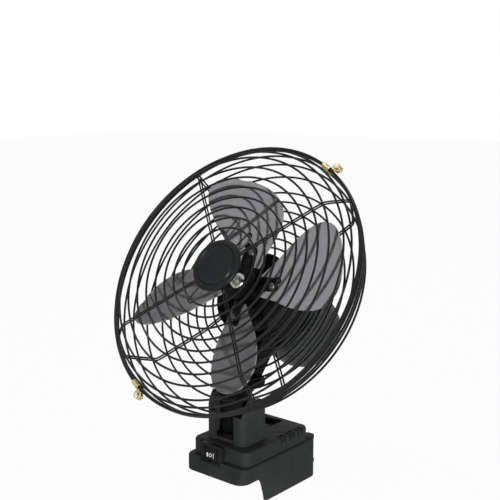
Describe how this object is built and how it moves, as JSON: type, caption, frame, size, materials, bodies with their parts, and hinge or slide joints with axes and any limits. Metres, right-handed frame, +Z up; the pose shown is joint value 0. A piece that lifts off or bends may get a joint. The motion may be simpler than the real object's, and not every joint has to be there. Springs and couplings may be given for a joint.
{
  "type": "jobsite fan",
  "caption": "Compact tilting fan with a wire-caged four-blade wheel and rear motor on a forked stalk, standing on a battery-tool base with a rocker switch.",
  "frame": {"origin": "on the ground under the middle of the base's length and width", "axes": "+Z up, -Y to the front where the switch is, +X to the fan's left side as it faces the viewer's right"},
  "size_m": [0.2749, 0.2342, 0.3358],
  "materials": {
    "housing_black": "black moulded plastic, fine matt grain",
    "switch_black": "black switch frame, half matt",
    "rocker_black": "black rocker with white printed positions",
    "inner_black": "black reinforced plastic",
    "contact_brass": "stamped brass blade",
    "dark_steel": "black oxide steel",
    "bright_steel": "zinc plated steel",
    "motor_black": "black painted motor front",
    "motor_grey": "dark grey half matt motor can",
    "wire_black": "black powder coated wire",
    "cap_black": "black moulded cap, half matt",
    "hub_black": "gloss black hub",
    "blade_grey": "mid grey coated sheet",
    "clip_yellow": "yellow passivated steel strap"
  },
  "bodies": {
    "base": {"base_lower_shell": "housing_black", "base_deck": "housing_black", "tower": "housing_black", "switch_bezel": "switch_black", "terminal_block": "inner_black", "contact_positive": "contact_brass", "contact_negative": "contact_brass", "base_screw_1": "dark_steel", "base_screw_2": "dark_steel", "base_screw_3": "dark_steel", "base_screw_4": "dark_steel"},
    "rocker": {"rocker_switch": "rocker_black"},
    "post": {"pivot_post": "inner_black"},
    "head": {"stalk": "inner_black", "pivot_bolt": "inner_black", "pivot_nut": "dark_steel", "motor_housing_front": "motor_black", "motor_housing_rear": "motor_grey", "rear_grille": "wire_black", "front_grille": "wire_black", "centre_cap": "cap_black", "clip_band_1": "clip_yellow", "clip_screw_1": "bright_steel", "clip_nut_1": "bright_steel", "clip_band_2": "clip_yellow", "clip_screw_2": "bright_steel", "clip_nut_2": "bright_steel", "grille_screw_1": "dark_steel", "grille_screw_2": "dark_steel", "grille_screw_3": "dark_steel", "grille_screw_4": "dark_steel"},
    "wheel": {"motor_shaft": "bright_steel", "fan_hub": "hub_black", "fan_blade_1": "blade_grey", "fan_blade_2": "blade_grey", "fan_blade_3": "blade_grey", "fan_blade_4": "blade_grey", "blade_rivet_1": "dark_steel", "blade_rivet_2": "dark_steel", "blade_rivet_3": "dark_steel", "blade_rivet_4": "dark_steel", "hub_collar": "bright_steel", "set_screw": "dark_steel"}
  },
  "joints": [
    {"name": "rocker_tip", "type": "hinge", "parent": "base", "child": "rocker", "pos_m": [-0.00675, -0.048, 0.0449], "axis": [0, 0, 1], "range_deg": [-8, 8]},
    {"name": "head_turn", "type": "hinge", "parent": "base", "child": "post", "pos_m": [0, -0.0245, 0.06], "axis": [0, 0, 1], "range_deg": [-46.6, 43.4]},
    {"name": "head_tilt", "type": "hinge", "parent": "post", "child": "head", "pos_m": [-0.00012, -0.0202, 0.1163], "axis": [0.9996, 0.0279, 0], "range_deg": [-26, 14]},
    {"name": "fan_spin", "type": "hinge", "parent": "head", "child": "wheel", "pos_m": [0.00025, -0.03336, 0.21896], "axis": [0.0235, -0.8421, 0.5388], "continuous": true}
  ]
}
